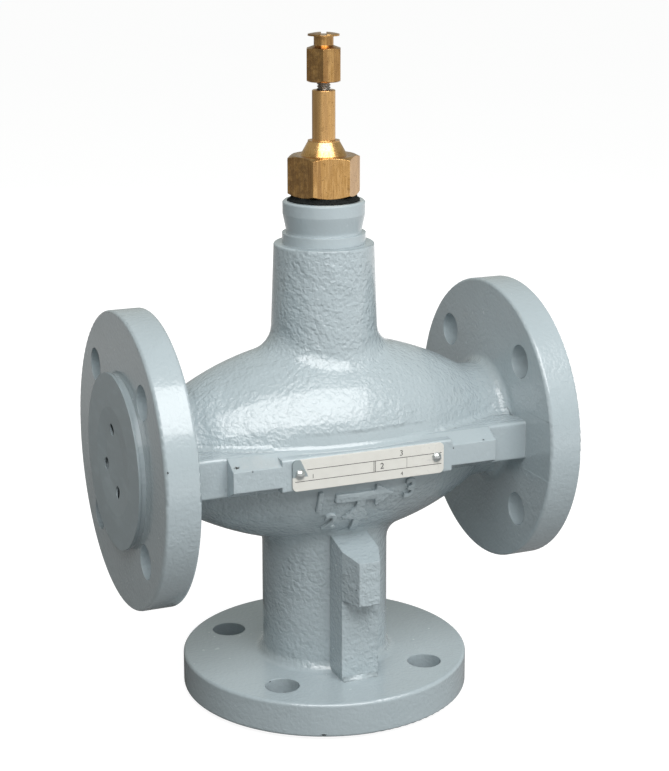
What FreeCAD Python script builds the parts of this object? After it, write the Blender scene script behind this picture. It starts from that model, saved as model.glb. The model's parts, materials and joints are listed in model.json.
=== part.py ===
import FreeCAD, Part
import math
import os
import re
import Sketcher

# Three-way flanged control valve, in millimetres.
# The origin is the centre of the lower port's face, +Z runs up the stem, and +X points from the
# inlet port on the left to the common port on the right. The nameplate faces -Y.

# Every driving size, one row of the sheet each
SIZES = {
    # How far a cutting form passes the face that it opens
    "overrun": 1,
    # Ports and flanges
    "axis_height": 109,
    "face_to_face": 180,
    "flange_rim": 14,
    "raised_height": 2,
    "bolt_circle": 90,
    "bolt_hole": 14,
    "bolt_edge": 15,
    "raised_margin": 3,
    "port_bore": 32,
    "lower_bore": 40,
    "rim_round": 1.2,
    # Cast shell
    "globe_dia": 84,
    "globe_arc": 120,
    "globe_wall": 6,
    "branch_dia": 48,
    "pipe_dia": 52.4,
    "neck_root_dia": 45.6,
    "neck_top_dia": 41,
    "neck_length": 82,
    "neck_round": 11,
    "pipe_round": 8,
    "branch_round": 14,
    "flange_round": 4,
    "shoulder_round": 0.8,
    # Turned collar on top of the neck
    "ring_dia": 34,
    "ring_height": 4.2,
    "groove_dia": 30.8,
    "groove_height": 1,
    "flare_height": 6.8,
    "collar_dia": 33.6,
    "collar_height": 5.3,
    "collar_chamfer": 0.7,
    # Front rib along the port axis, with its lugs and the nameplate boss
    "rib_front": 38.5,
    "rib_height": 15.8,
    "lug_front": 45.5,
    "lug_height": 8.4,
    "lug_length": 113,
    "boss_length": 73,
    "boss_height": 13.4,
    "rib_edge_round": 1,
    # Upright rib and block on the lower pipe
    "upright_width": 16,
    "upright_front": 37.5,
    "block_front": 47,
    "block_front_width": 9,
    "block_drop": 58,
    "block_height": 18.3,
    "block_slope": 14.5,
    # Inner walls and seats
    "web_thick": 8,
    "divider_foot": 66,
    "divider_wall_x": 4,
    "divider_wall_z": 4.5,
    "divider_shoulder": 20,
    "divider_wing": 13,
    "divider_wing_wall": 6,
    "wall_overrun": 2,
    "seat_bore": 28,
    "seat_proud": 1.6,
    "upper_ring_dia": 34,
    "lower_ring_dia": 36,
    "lower_ring_flange": 39.2,
    "lower_ring_flange_height": 4,
    "wrench_slot": 4.5,
    "seat_chamfer": 0.5,
    # Plug, stem and their travel
    "stroke": 20,
    "sealing_gap": 0.1,
    "plug_disc": 8,
    "plug_dia": 33,
    "skirt_gap": 0.08,
    "skirt_wall": 2.4,
    "skirt_hold": 4.2,
    "skirt_room": 2.4,
    "skirt_room_gap": 0.6,
    "window_margin": 1,
    "window_narrow": 3.2,
    "window_wide": 12,
    "window_land": 3,
    "stem_dia": 6,
    "running_gap": 0.05,
    "fit_gap": 0.02,
    "stem_collar_dia": 11,
    "stem_collar_height": 4,
    "washer_dia": 12,
    "washer_thick": 1.2,
    "nut_across": 10,
    "nut_height": 5,
    "stem_end": 1.5,
    # Gland housing
    "neck_core": 18,
    "thread_dia": 24,
    "thread_gap": 0.1,
    "thread_depth": 29.5,
    "spigot_depth": 28,
    "nose_height": 8,
    "nose_step": 1,
    "gasket_thick": 2,
    "gasket_dia": 29.6,
    "hex_across": 26,
    "hex_height": 16.3,
    "hex_turn": 51,
    "hex_chamfer_dia": 25.8,
    "hex_chamfer_angle": 27,
    "cone_base_dia": 18.9,
    "cone_top_dia": 12.9,
    "cone_height": 5.4,
    "cone_land": 0.5,
    "tube_dia": 9.4,
    "tube_height": 20.1,
    "tube_chamfer": 0.3,
    # Packing inside the housing
    "packing_bore": 16,
    "packing_top": 10.8,
    "bush_height": 11.5,
    "bush_slot": 3,
    "bush_slot_depth": 2,
    "seal_groove_dia": 10,
    "seal_groove_height": 3,
    "seal_section": 1.6,
    "vee_height": 2.2,
    "vee_rise": 1.2,
    "base_ring_height": 2,
    "top_ring_height": 3,
    "spring_wire": 1.3,
    "spring_dia": 11.6,
    "spring_turns": 5,
    "thrust_washer": 1.5,
    # Stem button
    "button_gap": 3.2,
    "button_across": 13.4,
    "button_hex_height": 14.4,
    "button_turn": 6.5,
    "button_chamfer_dia": 12.6,
    "button_chamfer_angle": 31,
    "button_shoulder_angle": 20.4,
    "button_neck_dia": 7.9,
    "button_neck_height": 3.7,
    "button_cap_dia": 12.7,
    "button_cap_rim": 0.7,
    "button_crown": 0.8,
    "button_slot": 2.2,
    "button_slot_depth": 1.1,
    "button_thread_depth": 11,
    "stem_end_gap": 1,
    # Nameplate and its rivets
    "plate_length": 65,
    "plate_height": 12.6,
    "plate_thick": 0.8,
    "plate_corner": 2,
    "rivet_spacing": 58.8,
    "rivet_lift": 0.5,
    "rivet_head": 4.2,
    "rivet_head_height": 1.5,
    "rivet_shank": 2.4,
    "rivet_length": 5,
    # Thin cover over the inlet port
    "cover_lap": 0.5,
    "cover_thick": 1,
    "cover_dish_dia": 44,
    "cover_dish_floor": 24,
    "cover_dish_depth": 1,
    "cover_dish_gap": 0.5,
    "cover_hole": 5,
    "cover_hole_circle": 25,
    "cover_hole_first": 105,
    "cover_hole_second": 200,
    "cover_hole_third": 284,
}

doc = FreeCAD.newDocument("ThreeWayValve")
sheet = doc.addObject("Spreadsheet::Sheet", "Sizes")
for row, (size_name, size) in enumerate(SIZES.items(), 1):
    sheet.set(f"A{row}", size_name)
    sheet.set(f"B{row}", str(size))
    sheet.setAlias(f"B{row}", size_name)
doc.recompute()

# Heights and places that follow from the sizes, written as expressions
NECK_ROOT = "(axis_height + globe_dia / 4)"
SHOULDER = "(axis_height + neck_length)"
FLANGE_DIA = "(bolt_circle + 2 * bolt_edge)"
RAISED_DIA = "(bolt_circle - bolt_hole - 2 * raised_margin)"
FLANGE_FACE = "(face_to_face / 2)"
FLANGE_FRONT = "(face_to_face / 2 - raised_height)"
FLANGE_BACK = "(face_to_face / 2 - raised_height - flange_rim)"
LOWER_FLANGE_TOP = "(raised_height + flange_rim)"
ARC_CENTRE = "(globe_arc - globe_dia / 2)"
ARC_END = f"sqrt(globe_arc ^ 2 - ({ARC_CENTRE} + branch_dia / 2) ^ 2)"
BRANCH_FREE = f"({FLANGE_BACK} - {ARC_END} - flange_round)"
BRANCH_ROUND = f"min(branch_round; {BRANCH_FREE} / tan(asin({ARC_END} / globe_arc) / 2))"
CORE_ARC = "(globe_arc - globe_wall)"
CORE_END = f"sqrt({CORE_ARC} ^ 2 - ({ARC_CENTRE} + port_bore / 2) ^ 2)"
CHAMBER = "(plug_disc + stroke + 2 * sealing_gap)"
LOWER_SEAT = f"(axis_height - {CHAMBER} / 2)"
UPPER_SEAT = f"(axis_height + {CHAMBER} / 2)"
LOWER_WEB_TOP = f"({LOWER_SEAT} - seat_proud)"
LOWER_WEB_BASE = f"({LOWER_WEB_TOP} - web_thick)"
UPPER_WEB_BASE = f"({UPPER_SEAT} + seat_proud)"
UPPER_WEB_TOP = f"({UPPER_WEB_BASE} + web_thick)"
PLUG_BASE = f"({LOWER_SEAT} + sealing_gap)"
SKIRT_LENGTH = "(stroke + 2 * sealing_gap + skirt_hold)"
SKIRT_DIA = "(seat_bore - 2 * skirt_gap)"
RING_TOP = f"({SHOULDER} + ring_height)"
COLLAR_BASE = f"({RING_TOP} + groove_height + flare_height)"
NECK_TOP = f"({COLLAR_BASE} + collar_height)"
HEX_BASE = f"({NECK_TOP} + gasket_thick)"
HEX_TOP = f"({HEX_BASE} + hex_height)"
TUBE_TOP = f"({HEX_TOP} + cone_height + cone_land + tube_height)"
SPIGOT_BASE = f"({NECK_TOP} - spigot_depth)"
PACKING_TOP = f"({HEX_BASE} + packing_top)"
BUTTON_BASE = f"({TUBE_TOP} + button_gap)"
PLATE_BACK = "lug_front"

# Margins for telling the edges of a fillet from their neighbours
SAME = 0.05
CLEAR_OF = 1


def bound(text):
    """Expression with each size's name pointed at the sheet."""
    return re.sub(r"[a-z][a-z_]+", lambda word: ("Sizes." if word[0] in SIZES else "") + word[0], text)


def value(text):
    """Present value of an expression in the sizes' names."""
    return float(sheet.evalExpression(bound(text)))


def new_body(label, lift="0"):
    """Body for one piece, with its own origin raised to where the piece starts."""
    body = doc.addObject("PartDesign::Body", label)
    body.Label = label
    body.setExpression("Placement.Base.z", bound(lift))
    return body


def sketch_on(body, plane, name, lift="0", rise="0"):
    """Sketch on an origin plane of its body: lift is along the normal, rise along the sketch's y."""
    sketch = body.newObject("Sketcher::SketchObject", name)
    origin = next(item for item in body.Origin.OriginFeatures if item.Role == plane)
    sketch.AttachmentSupport = [(origin, "")]
    sketch.MapMode = "FlatFace"
    sketch.setExpression("AttachmentOffset.Base.z", bound(lift))
    sketch.setExpression("AttachmentOffset.Base.y", bound(rise))
    return sketch


def pin_down(sketch, kind, where, text):
    """Constraint whose size is an expression."""
    number = sketch.addConstraint(Sketcher.Constraint(kind, *where, value(text)))
    sketch.setExpression(f"Constraints[{number}]", bound(text))


def outline(sketch, corners):
    """Closed outline. A third entry at a corner starts an arc of that radius, bulging left."""
    edges = []
    for corner, following in zip(corners, corners[1:] + corners[:1]):
        start = FreeCAD.Vector(value(corner[0]), value(corner[1]), 0)
        end = FreeCAD.Vector(value(following[0]), value(following[1]), 0)
        if len(corner) == 2:
            edges.append((sketch.addGeometry(Part.LineSegment(start, end)), 1, 2))
            continue
        radius = value(corner[2])
        chord = end - start
        left = FreeCAD.Vector(-chord.y, chord.x, 0).normalize()
        centre = (start + end) / 2 - left * math.sqrt(radius ** 2 - chord.Length ** 2 / 4)
        circle = Part.Circle(centre, FreeCAD.Vector(0, 0, 1), radius)
        arc = Part.ArcOfCircle(circle, circle.parameter(end), circle.parameter(start))
        edges.append((sketch.addGeometry(arc), 2, 1))
    for (edge, _, last), (following, first, _) in zip(edges, edges[1:] + edges[:1]):
        sketch.addConstraint(Sketcher.Constraint("Coincident", edge, last, following, first))
    for corner, (edge, first, _) in zip(corners, edges):
        pin_down(sketch, "DistanceX", (edge, first), corner[0])
        pin_down(sketch, "DistanceY", (edge, first), corner[1])
        if len(corner) == 3:
            pin_down(sketch, "Radius", (edge,), corner[2])


def circle(sketch, across, down, diameter):
    """Circle of a given diameter about a point."""
    centre = FreeCAD.Vector(value(across), value(down), 0)
    radius = value(diameter) / 2
    number = sketch.addGeometry(Part.Circle(centre, FreeCAD.Vector(0, 0, 1), radius))
    pin_down(sketch, "DistanceX", (number, 3), across)
    pin_down(sketch, "DistanceY", (number, 3), down)
    pin_down(sketch, "Diameter", (number,), diameter)


def box(low_x, high_x, low_y, high_y):
    """Corners of a rectangle."""
    return [(low_x, low_y), (high_x, low_y), (high_x, high_y), (low_x, high_y)]


def rounded_front(front, half_height, radius):
    """Section of a bar that starts inside the casting and has both corners of its front rounded."""
    return [
        (f"-{front}", f"{radius} - {half_height}"),
        (f"-{front}", f"{half_height} - {radius}", radius),
        (f"{radius} - {front}", half_height),
        ("-branch_dia / 4", half_height),
        ("-branch_dia / 4", f"-{half_height}"),
        (f"{radius} - {front}", f"-{half_height}", radius),
    ]


def hexagon(across, turn):
    """Corners of a hexagon from its width across flats, turned by an angle."""
    corners = []
    for step in range(6):
        angle = f"({turn} + {60 * step})"
        corners.append((f"{across} / sqrt(3) * cos{angle}", f"{across} / sqrt(3) * sin{angle}"))
    return corners


def revolve(body, name, corners, kind="Revolution", axis="V_Axis", rise="0"):
    """Turned or cast round form, from half its section on the XZ plane."""
    sketch = sketch_on(body, "XZ_Plane", name + "_section", rise=rise)
    outline(sketch, corners)
    feature = body.newObject("PartDesign::" + kind, name)
    feature.Profile = sketch
    feature.ReferenceAxis = (sketch, [axis])
    feature.Angle = 360
    return feature


def extrude(body, name, sketch, length, kind="Pad", midplane=False, reverse=False):
    """Pad or pocket of a sketch, its length an expression."""
    feature = body.newObject("PartDesign::" + kind, name)
    feature.Profile = sketch
    feature.setExpression("Length", bound(length))
    feature.SideType = "Symmetric" if midplane else "One side"
    feature.Reversed = reverse
    return feature


def round_edges(body, name, radius, wanted):
    """Fillet on the edges of the body's tip that pass a test."""
    doc.recompute()
    tip = body.Tip
    names = [f"Edge{number}" for number, edge in enumerate(tip.Shape.Edges, 1) if wanted(edge)]
    if not names:
        raise RuntimeError(f"{name} finds no edge")
    feature = body.newObject("PartDesign::Fillet", name)
    feature.Base = (tip, names)
    feature.setExpression("Radius", bound(radius))
    return feature


def points_on(edge, count=7):
    """Points spread along an edge."""
    return edge.discretize(Number=count)


def is_circle(edge, diameter):
    """True for a round edge of this diameter."""
    return isinstance(edge.Curve, Part.Circle) and abs(2 * edge.Curve.Radius - diameter) < SAME


def hex_chamfer(body, across, end_z, inward, corner_dia, angle):
    """Turned chamfer at one end of a hexagon, inward being the sign towards its middle."""
    reach = f"({across})"
    rim = f"({corner_dia} / 2)"
    drop = f"tan({angle}) * ({reach} - {rim})"
    name = "lower_chamfer" if inward == "+" else "upper_chamfer"
    revolve(body, name, [(rim, end_z), (reach, end_z), (reach, f"{end_z} {inward} {drop}")], "Groove")


# Casting: shell, branches, pipe, neck and flanges
casting = new_body("casting")
run_half = [
    (f"-{FLANGE_FACE}", "0"),
    (f"-{FLANGE_FACE}", f"{RAISED_DIA} / 2"),
    (f"-{FLANGE_FRONT}", f"{RAISED_DIA} / 2"),
    (f"-{FLANGE_FRONT}", f"{FLANGE_DIA} / 2"),
    (f"-{FLANGE_BACK}", f"{FLANGE_DIA} / 2"),
    (f"-{FLANGE_BACK}", "branch_dia / 2"),
    (f"-{ARC_END}", "branch_dia / 2", "globe_arc"),
    (ARC_END, "branch_dia / 2"),
    (FLANGE_BACK, "branch_dia / 2"),
    (FLANGE_BACK, f"{FLANGE_DIA} / 2"),
    (FLANGE_FRONT, f"{FLANGE_DIA} / 2"),
    (FLANGE_FRONT, f"{RAISED_DIA} / 2"),
    (FLANGE_FACE, f"{RAISED_DIA} / 2"),
    (FLANGE_FACE, "0"),
]
revolve(casting, "globe_and_side_flanges", run_half, axis="H_Axis", rise="axis_height")
upright = [
    ("0", "0"),
    (f"{RAISED_DIA} / 2", "0"),
    (f"{RAISED_DIA} / 2", "raised_height"),
    (f"{FLANGE_DIA} / 2", "raised_height"),
    (f"{FLANGE_DIA} / 2", LOWER_FLANGE_TOP),
    ("pipe_dia / 2", LOWER_FLANGE_TOP),
    ("pipe_dia / 2", "axis_height"),
    ("neck_root_dia / 2", NECK_ROOT),
    ("neck_top_dia / 2", SHOULDER),
    ("ring_dia / 2", SHOULDER),
    ("ring_dia / 2", RING_TOP),
    ("groove_dia / 2", RING_TOP),
    ("groove_dia / 2", f"{RING_TOP} + groove_height"),
    ("collar_dia / 2", COLLAR_BASE),
    ("collar_dia / 2", f"{NECK_TOP} - collar_chamfer"),
    ("collar_dia / 2 - collar_chamfer", NECK_TOP),
    ("0", NECK_TOP),
]
revolve(casting, "pipe_flange_and_neck", upright)

pipe_radius = value("pipe_dia / 2")
globe_top = value("axis_height + globe_dia / 2")
flange_back = value(FLANGE_BACK)


def at_pipe_root(edge):
    """Edge where the lower pipe enters the globe."""
    return all(abs(math.hypot(point.x, point.y) - pipe_radius) < SAME and
               value(LOWER_FLANGE_TOP) + CLEAR_OF < point.z < value("axis_height") - CLEAR_OF
               for point in points_on(edge))


def at_neck_root(edge):
    """Edge where the neck leaves the globe."""
    return all(value(NECK_ROOT) + CLEAR_OF < point.z <= globe_top and
               value("neck_top_dia / 2") < math.hypot(point.x, point.y) < value("neck_root_dia / 2")
               for point in points_on(edge))


round_edges(casting, "pipe_root", "pipe_round", at_pipe_root)
round_edges(casting, "neck_root", "neck_round", at_neck_root)
round_edges(casting, "branch_root", BRANCH_ROUND,
            lambda edge: (is_circle(edge, value("branch_dia")) and
                          abs(edge.Curve.Center.x) < flange_back - CLEAR_OF))
round_edges(casting, "side_flange_root", "flange_round",
            lambda edge: (is_circle(edge, value("branch_dia")) and
                          abs(edge.Curve.Center.x) > flange_back - CLEAR_OF))
round_edges(casting, "lower_flange_root", "flange_round",
            lambda edge: (is_circle(edge, value("pipe_dia")) and
                          edge.Curve.Center.z < value(LOWER_FLANGE_TOP) + CLEAR_OF))
round_edges(casting, "flange_rims", "rim_round", lambda edge: is_circle(edge, value(FLANGE_DIA)))
round_edges(casting, "shoulder_rim", "shoulder_round", lambda edge: is_circle(edge, value("neck_top_dia")))

# Front rib along the port axis, the lugs on it and the nameplate boss, as sections on the YZ plane
rib = sketch_on(casting, "YZ_Plane", "rib_section", rise="axis_height")
outline(rib, rounded_front("rib_front", "rib_height / 2", "rib_edge_round"))
extrude(casting, "rib", rib, f"2 * {FLANGE_BACK} + flange_rim", midplane=True)
lug = sketch_on(casting, "YZ_Plane", "lug_section", rise="axis_height")
outline(lug, [("-lug_front", "-lug_height / 2"), ("-rib_front", "-rib_height / 2"),
              ("-branch_dia / 4", "-rib_height / 2"), ("-branch_dia / 4", "rib_height / 2"),
              ("-rib_front", "rib_height / 2"), ("-lug_front", "lug_height / 2")])
extrude(casting, "lugs", lug, "lug_length", midplane=True)
boss = sketch_on(casting, "YZ_Plane", "boss_section", rise="axis_height")
outline(boss, rounded_front("lug_front", "boss_height / 2", "rib_edge_round"))
extrude(casting, "nameplate_boss", boss, "boss_length", midplane=True)

# Upright rib on the lower pipe with its block, from the side, then the block's tapered cheeks
BLOCK_BASE = "(axis_height - block_drop)"
BLOCK_TOP = f"({BLOCK_BASE} + block_height)"
CHEEK_HEIGHT = "block_height + (block_front - upright_front) * tan(block_slope) + 2 * overrun"
web = sketch_on(casting, "YZ_Plane", "upright_profile")
outline(web, [
    ("-pipe_dia / 4", "flange_rim / 2"),
    ("-upright_front", "flange_rim / 2"),
    ("-upright_front", BLOCK_BASE),
    ("-block_front", BLOCK_BASE),
    ("-block_front", BLOCK_TOP),
    ("-pipe_dia / 4", f"{BLOCK_TOP} + (block_front - pipe_dia / 4) * tan(block_slope)"),
])
extrude(casting, "upright_rib", web, "upright_width", midplane=True)
for side, sign in (("left", "-"), ("right", "")):
    cheek = sketch_on(casting, "XY_Plane", f"{side}_cheek_plan", lift=f"{BLOCK_BASE} - overrun")
    outline(cheek, [
        (f"{sign}upright_width / 2", "-upright_front"),
        (f"{sign}block_front_width / 2", "-block_front"),
        (f"{sign}block_front_width / 2", "-block_front - overrun"),
        (f"{sign}(upright_width / 2 + overrun)", "-block_front - overrun"),
        (f"{sign}(upright_width / 2 + overrun)", "-upright_front"),
    ])
    extrude(casting, f"{side}_cheek", cheek, CHEEK_HEIGHT, kind="Pocket", reverse=True)

# Bolt holes, four in each flange, between the axes of the valve
BOLT_STEP = "bolt_circle / 2 * cos(45)"


def bolt_holes(name, plane, lift, reverse, rise):
    """Four bolt holes through one flange."""
    sketch = sketch_on(casting, plane, name + "_circles", lift=lift, rise=rise)
    for across in ("", "-"):
        for down in ("", "-"):
            circle(sketch, across + BOLT_STEP, down + BOLT_STEP, "bolt_hole")
    extrude(casting, name, sketch, "flange_rim + flange_round", kind="Pocket", reverse=reverse)


bolt_holes("inlet_bolt_holes", "YZ_Plane", f"-{FLANGE_FRONT}", True, "axis_height")
bolt_holes("outlet_bolt_holes", "YZ_Plane", FLANGE_FRONT, False, "axis_height")
bolt_holes("lower_bolt_holes", "XY_Plane", "raised_height", True, "0")

# Rivet holes in the nameplate boss
rivet_holes = sketch_on(casting, "XZ_Plane", "rivet_hole_circles", lift=PLATE_BACK, rise="axis_height")
for side in ("-", ""):
    circle(rivet_holes, side + "rivet_spacing / 2", "rivet_lift", "rivet_shank + 2 * fit_gap")
extrude(casting, "rivet_holes", rivet_holes, "rivet_length + overrun", kind="Pocket")

# Cored waterway along the port axis, before the inner walls are taken from it
waterway = new_body("waterway")
core_half = [
    (f"-{FLANGE_FACE} - overrun", "0"),
    (f"-{FLANGE_FACE} - overrun", "port_bore / 2"),
    (f"-{CORE_END}", "port_bore / 2", CORE_ARC),
    (CORE_END, "port_bore / 2"),
    (f"{FLANGE_FACE} + overrun", "port_bore / 2"),
    (f"{FLANGE_FACE} + overrun", "0"),
]
revolve(waterway, "core", core_half, axis="H_Axis", rise="axis_height")

# Inner walls: an S-shaped wall that carries the upper seat, and a level web for the lower one
walls = new_body("inner_walls")
wall_section = sketch_on(walls, "XZ_Plane", "wall_section")
WALL_FOOT = "(axis_height - port_bore / 2 - wall_overrun)"
CORE_TOP = "(axis_height + globe_dia / 2 + wall_overrun)"
WALL_RUN = f"({UPPER_WEB_TOP} - {WALL_FOOT})"
WALL_SLOPE = f"((divider_foot - divider_shoulder) / {WALL_RUN})"
WALL_MEETS = (f"(divider_foot - divider_wall_x - {WALL_SLOPE} * "
              f"({UPPER_WEB_BASE} - {WALL_FOOT} + divider_wall_z))")
outline(wall_section, [
    ("-divider_foot", WALL_FOOT),
    ("-divider_foot + divider_wall_x", f"{WALL_FOOT} - divider_wall_z"),
    (f"-{WALL_MEETS}", UPPER_WEB_BASE),
    ("divider_shoulder + divider_wing_wall", UPPER_WEB_BASE),
    ("divider_shoulder + divider_wing", CORE_TOP),
    ("divider_shoulder + divider_wing - divider_wing_wall", CORE_TOP),
    ("divider_shoulder", UPPER_WEB_TOP),
    ("-divider_shoulder", UPPER_WEB_TOP),
])
extrude(walls, "upper_wall", wall_section, "globe_dia", midplane=True)
web_section = sketch_on(walls, "XZ_Plane", "web_section")
outline(web_section, box("-divider_foot", "divider_foot", LOWER_WEB_BASE, LOWER_WEB_TOP))
extrude(walls, "lower_web", web_section, "globe_dia", midplane=True)

# Bores on the stem axis: lower port, seat rings, upper skirt, stem and gland thread
bores = new_body("stem_axis_bores")
SKIRT_TOP_REACH = f"({UPPER_SEAT} + {SKIRT_LENGTH} + skirt_room)"
revolve(bores, "bores", [
    ("0", "-overrun"),
    ("lower_bore / 2", "-overrun"),
    ("lower_bore / 2", LOWER_WEB_BASE),
    ("lower_ring_dia / 2", LOWER_WEB_BASE),
    ("lower_ring_dia / 2", LOWER_SEAT),
    ("upper_ring_dia / 2", LOWER_SEAT),
    ("upper_ring_dia / 2", UPPER_WEB_TOP),
    ("seat_bore / 2 + skirt_room_gap", UPPER_WEB_TOP),
    ("seat_bore / 2 + skirt_room_gap", SKIRT_TOP_REACH),
    ("neck_core / 2", SKIRT_TOP_REACH),
    ("neck_core / 2", f"{NECK_TOP} - thread_depth"),
    ("thread_dia / 2", f"{NECK_TOP} - thread_depth"),
    ("thread_dia / 2", f"{NECK_TOP} + overrun"),
    ("0", f"{NECK_TOP} + overrun"),
])

chambers = doc.addObject("Part::Cut", "chambers")
chambers.Base = waterway
chambers.Tool = walls
hollows = doc.addObject("Part::MultiFuse", "hollows")
hollows.Shapes = [chambers, bores]
valve_body = doc.addObject("Part::Cut", "valve_body")
valve_body.Base = casting
valve_body.Tool = hollows
valve_body.Refine = False
valve_body.Label = "valve_body"

# Upper seat ring, pressed into the inner wall with its sealing face down
upper_seat_ring = new_body("upper_seat_ring", UPPER_SEAT)
revolve(upper_seat_ring, "ring", [
    ("seat_bore / 2", "seat_chamfer"),
    ("seat_bore / 2 + seat_chamfer", "0"),
    ("upper_ring_dia / 2 - fit_gap - seat_chamfer", "0"),
    ("upper_ring_dia / 2 - fit_gap", "seat_chamfer"),
    ("upper_ring_dia / 2 - fit_gap", "seat_proud + web_thick"),
    ("seat_bore / 2", "seat_proud + web_thick"),
])

# Lower seat ring, screwed up from the lower port against the web, with slots for a key
lower_seat_ring = new_body("lower_seat_ring", f"{LOWER_WEB_BASE} - lower_ring_flange_height")
LOWER_RING_TOP = "(lower_ring_flange_height + web_thick + seat_proud)"
revolve(lower_seat_ring, "ring", [
    ("seat_bore / 2", "0"),
    ("lower_ring_flange / 2", "0"),
    ("lower_ring_flange / 2", "lower_ring_flange_height"),
    ("lower_ring_dia / 2 - thread_gap", "lower_ring_flange_height"),
    ("lower_ring_dia / 2 - thread_gap", f"{LOWER_RING_TOP} - seat_chamfer"),
    ("lower_ring_dia / 2 - thread_gap - seat_chamfer", LOWER_RING_TOP),
    ("seat_bore / 2 + seat_chamfer", LOWER_RING_TOP),
    ("seat_bore / 2", f"{LOWER_RING_TOP} - seat_chamfer"),
])
key_slot = sketch_on(lower_seat_ring, "XY_Plane", "key_slot_plan")
outline(key_slot, box("-lower_ring_flange / 2 - overrun", "lower_ring_flange / 2 + overrun",
                      "-wrench_slot / 2", "wrench_slot / 2"))
extrude(lower_seat_ring, "key_slots", key_slot, "lower_ring_flange_height / 2", kind="Pocket", reverse=True)

# Plug: a disc that seals both ways, with a ported skirt sliding in each seat
valve_plug = new_body("valve_plug", PLUG_BASE)
SKIRT_INNER = f"({SKIRT_DIA} / 2 - skirt_wall)"
revolve(valve_plug, "disc_and_skirts", [
    ("stem_dia / 2 + fit_gap", "0"),
    (SKIRT_INNER, "0"),
    (SKIRT_INNER, f"-{SKIRT_LENGTH}"),
    (f"{SKIRT_DIA} / 2", f"-{SKIRT_LENGTH}"),
    (f"{SKIRT_DIA} / 2", "0"),
    ("plug_dia / 2", "0"),
    ("plug_dia / 2", "plug_disc"),
    (f"{SKIRT_DIA} / 2", "plug_disc"),
    (f"{SKIRT_DIA} / 2", f"plug_disc + {SKIRT_LENGTH}"),
    (SKIRT_INNER, f"plug_disc + {SKIRT_LENGTH}"),
    (SKIRT_INNER, "plug_disc"),
    ("stem_dia / 2 + fit_gap", "plug_disc"),
])


def skirt_windows(name, root, sign):
    """Tapered windows through one skirt, narrow beside the disc."""
    sketch = sketch_on(valve_plug, "XZ_Plane", name + "_outline")
    near = f"{root} {sign} window_margin"
    far = f"{root} {sign} ({SKIRT_LENGTH} - window_land)"
    corners = [("-window_narrow / 2", near), ("window_narrow / 2", near),
               ("window_wide / 2", far), ("-window_wide / 2", far)]
    outline(sketch, corners)
    window = extrude(valve_plug, name, sketch, f"{SKIRT_DIA} + 2 * overrun", kind="Pocket", midplane=True)
    doc.recompute()
    pattern = valve_plug.newObject("PartDesign::PolarPattern", name + "_around")
    pattern.Originals = [window]
    z_axis = next(item for item in valve_plug.Origin.OriginFeatures if item.Role == "Z_Axis")
    pattern.Axis = (z_axis, [""])
    pattern.Angle = 180
    pattern.Occurrences = 2
    valve_plug.Tip = pattern


skirt_windows("upper_windows", "plug_disc", "+")
skirt_windows("lower_windows", "0", "-")

# Stem, with the collar that bears on the plug's disc
valve_stem = new_body("valve_stem", PLUG_BASE)
STEM_FOOT = "(washer_thick + nut_height + stem_end)"
STEM_TOP = f"({BUTTON_BASE} + button_thread_depth - stem_end_gap - {PLUG_BASE})"
revolve(valve_stem, "rod", [
    ("0", f"-{STEM_FOOT}"),
    ("stem_dia / 2 - seat_chamfer", f"-{STEM_FOOT}"),
    ("stem_dia / 2", f"-{STEM_FOOT} + seat_chamfer"),
    ("stem_dia / 2", "plug_disc"),
    ("stem_collar_dia / 2", "plug_disc"),
    ("stem_collar_dia / 2", "plug_disc + stem_collar_height"),
    ("stem_dia / 2", "plug_disc + stem_collar_height"),
    ("stem_dia / 2", f"{STEM_TOP} - seat_chamfer"),
    ("stem_dia / 2 - seat_chamfer", STEM_TOP),
    ("0", STEM_TOP),
])


def ring(label, inner, outer, height, base):
    """Plain flat ring."""
    body = new_body(label, base)
    revolve(body, "ring", box(inner, outer, "0", height))
    return body


plug_washer = ring("plug_washer", "stem_dia / 2 + fit_gap", "washer_dia / 2", "washer_thick",
                   f"{PLUG_BASE} - washer_thick")
plug_nut = new_body("plug_nut", f"{PLUG_BASE} - washer_thick - nut_height")
nut_plan = sketch_on(plug_nut, "XY_Plane", "nut_plan")
outline(nut_plan, hexagon("nut_across", "0"))
circle(nut_plan, "0", "0", "stem_dia + 2 * fit_gap")
extrude(plug_nut, "nut", nut_plan, "nut_height")

# Gland housing: threaded spigot, hexagon, cone and guide tube, bored from below for the packing
gland_housing = new_body("gland_housing", SPIGOT_BASE)
HEX_LEVEL = "(spigot_depth + gasket_thick)"
HEX_END = f"({HEX_LEVEL} + hex_height)"
CONE_END = f"({HEX_END} + cone_height)"
TUBE_BASE = f"({CONE_END} + cone_land)"
TUBE_END = f"({TUBE_BASE} + tube_height)"
SPIGOT_RADIUS = "(thread_dia / 2 - thread_gap)"
revolve(gland_housing, "turned_form", [
    ("0", "0"),
    (f"{SPIGOT_RADIUS} - nose_step", "0"),
    (f"{SPIGOT_RADIUS} - nose_step", "nose_height"),
    (SPIGOT_RADIUS, "nose_height + nose_step"),
    (SPIGOT_RADIUS, HEX_LEVEL),
    (SPIGOT_RADIUS, f"{HEX_LEVEL} + hex_height / 2"),
    ("cone_base_dia / 2", f"{HEX_LEVEL} + hex_height / 2"),
    ("cone_base_dia / 2", HEX_END),
    ("cone_top_dia / 2", CONE_END),
    ("cone_top_dia / 2", TUBE_BASE),
    ("tube_dia / 2", TUBE_BASE),
    ("tube_dia / 2", f"{TUBE_END} - tube_chamfer"),
    ("tube_dia / 2 - tube_chamfer", TUBE_END),
    ("0", TUBE_END),
])
hex_plan = sketch_on(gland_housing, "XY_Plane", "hex_plan", lift=HEX_LEVEL)
outline(hex_plan, hexagon("hex_across", "hex_turn"))
extrude(gland_housing, "hexagon", hex_plan, "hex_height")
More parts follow.
